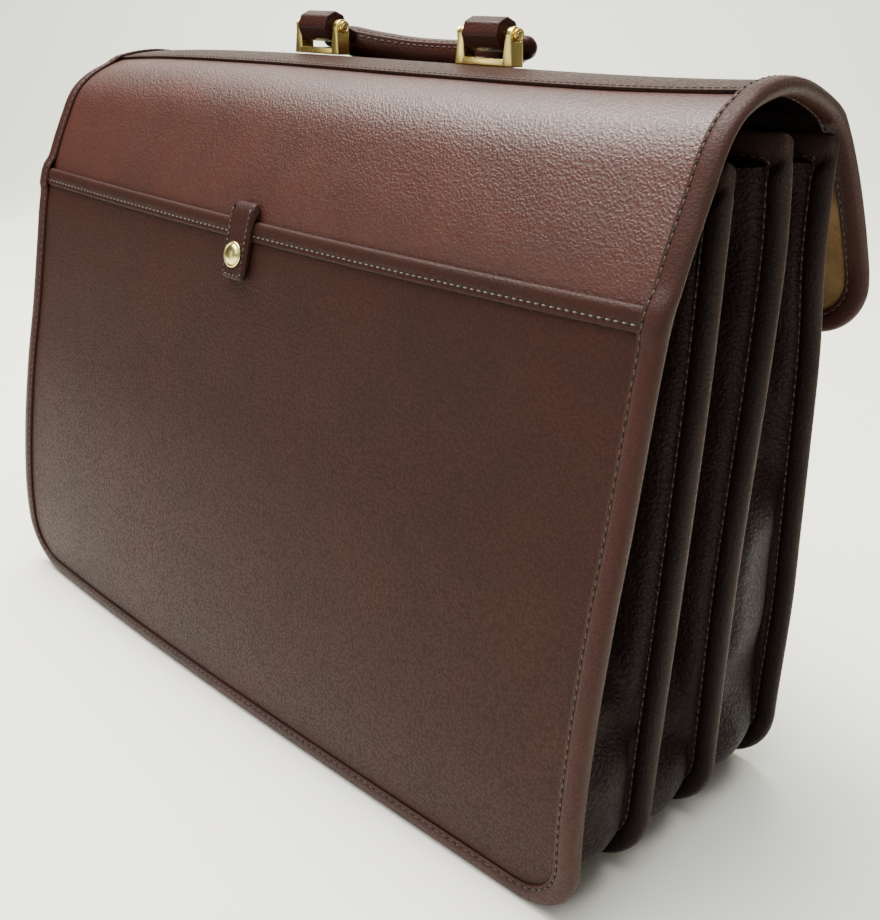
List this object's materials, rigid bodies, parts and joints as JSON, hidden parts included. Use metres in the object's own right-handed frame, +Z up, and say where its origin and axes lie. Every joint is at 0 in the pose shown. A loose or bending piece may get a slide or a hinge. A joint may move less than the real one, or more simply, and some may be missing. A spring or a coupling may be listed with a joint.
{
  "type": "leather document case",
  "caption": "Soft leather document case with a wide back and flap, bellows sides, a snapped back pocket and a swinging rolled handle on metal brackets.",
  "frame": {"origin": "on the floor, under the middle of the whole case", "axes": "+X along the case, +Y from the back panel towards the flap's front, +Z up"},
  "size_m": [0.43, 0.1922, 0.3323],
  "materials": {
    "leather": "grained, slightly glossy red-brown",
    "edge_leather": "smooth folded edge binding",
    "gusset_leather": "soft dark burgundy",
    "suede": "matt olive-tan suede",
    "brass": "polished"
  },
  "bodies": {
    "case": {"back_flap_panel": "leather", "flap_lining": "suede", "back_pocket": "leather", "top_strip": "leather", "back_flap_binding": "edge_leather", "pocket_hem": "leather", "snap_tab": "leather", "snap_cap": "brass", "near_divider": "leather", "near_divider_binding": "edge_leather", "far_divider": "leather", "far_divider_binding": "edge_leather", "front_panel": "leather", "front_panel_binding": "edge_leather", "near_gusset_right_end": "gusset_leather", "near_gusset_foot": "gusset_leather", "near_gusset_left_end": "gusset_leather", "middle_gusset_right_end": "gusset_leather", "middle_gusset_foot": "gusset_leather", "middle_gusset_left_end": "gusset_leather", "far_gusset_right_end": "gusset_leather", "far_gusset_foot": "gusset_leather", "far_gusset_left_end": "gusset_leather", "left_bracket": "brass", "left_pin": "brass", "right_bracket": "brass", "right_pin": "brass", "flap_clasp": "brass", "clasp_catch": "brass"},
    "handle": {"handle": "leather"}
  },
  "joints": [
    {"name": "handle_swing", "type": "hinge", "parent": "case", "child": "handle", "pos_m": [0, 0.01496, 0.32583], "axis": [1, 0, 0], "range_deg": [0, 205]}
  ]
}
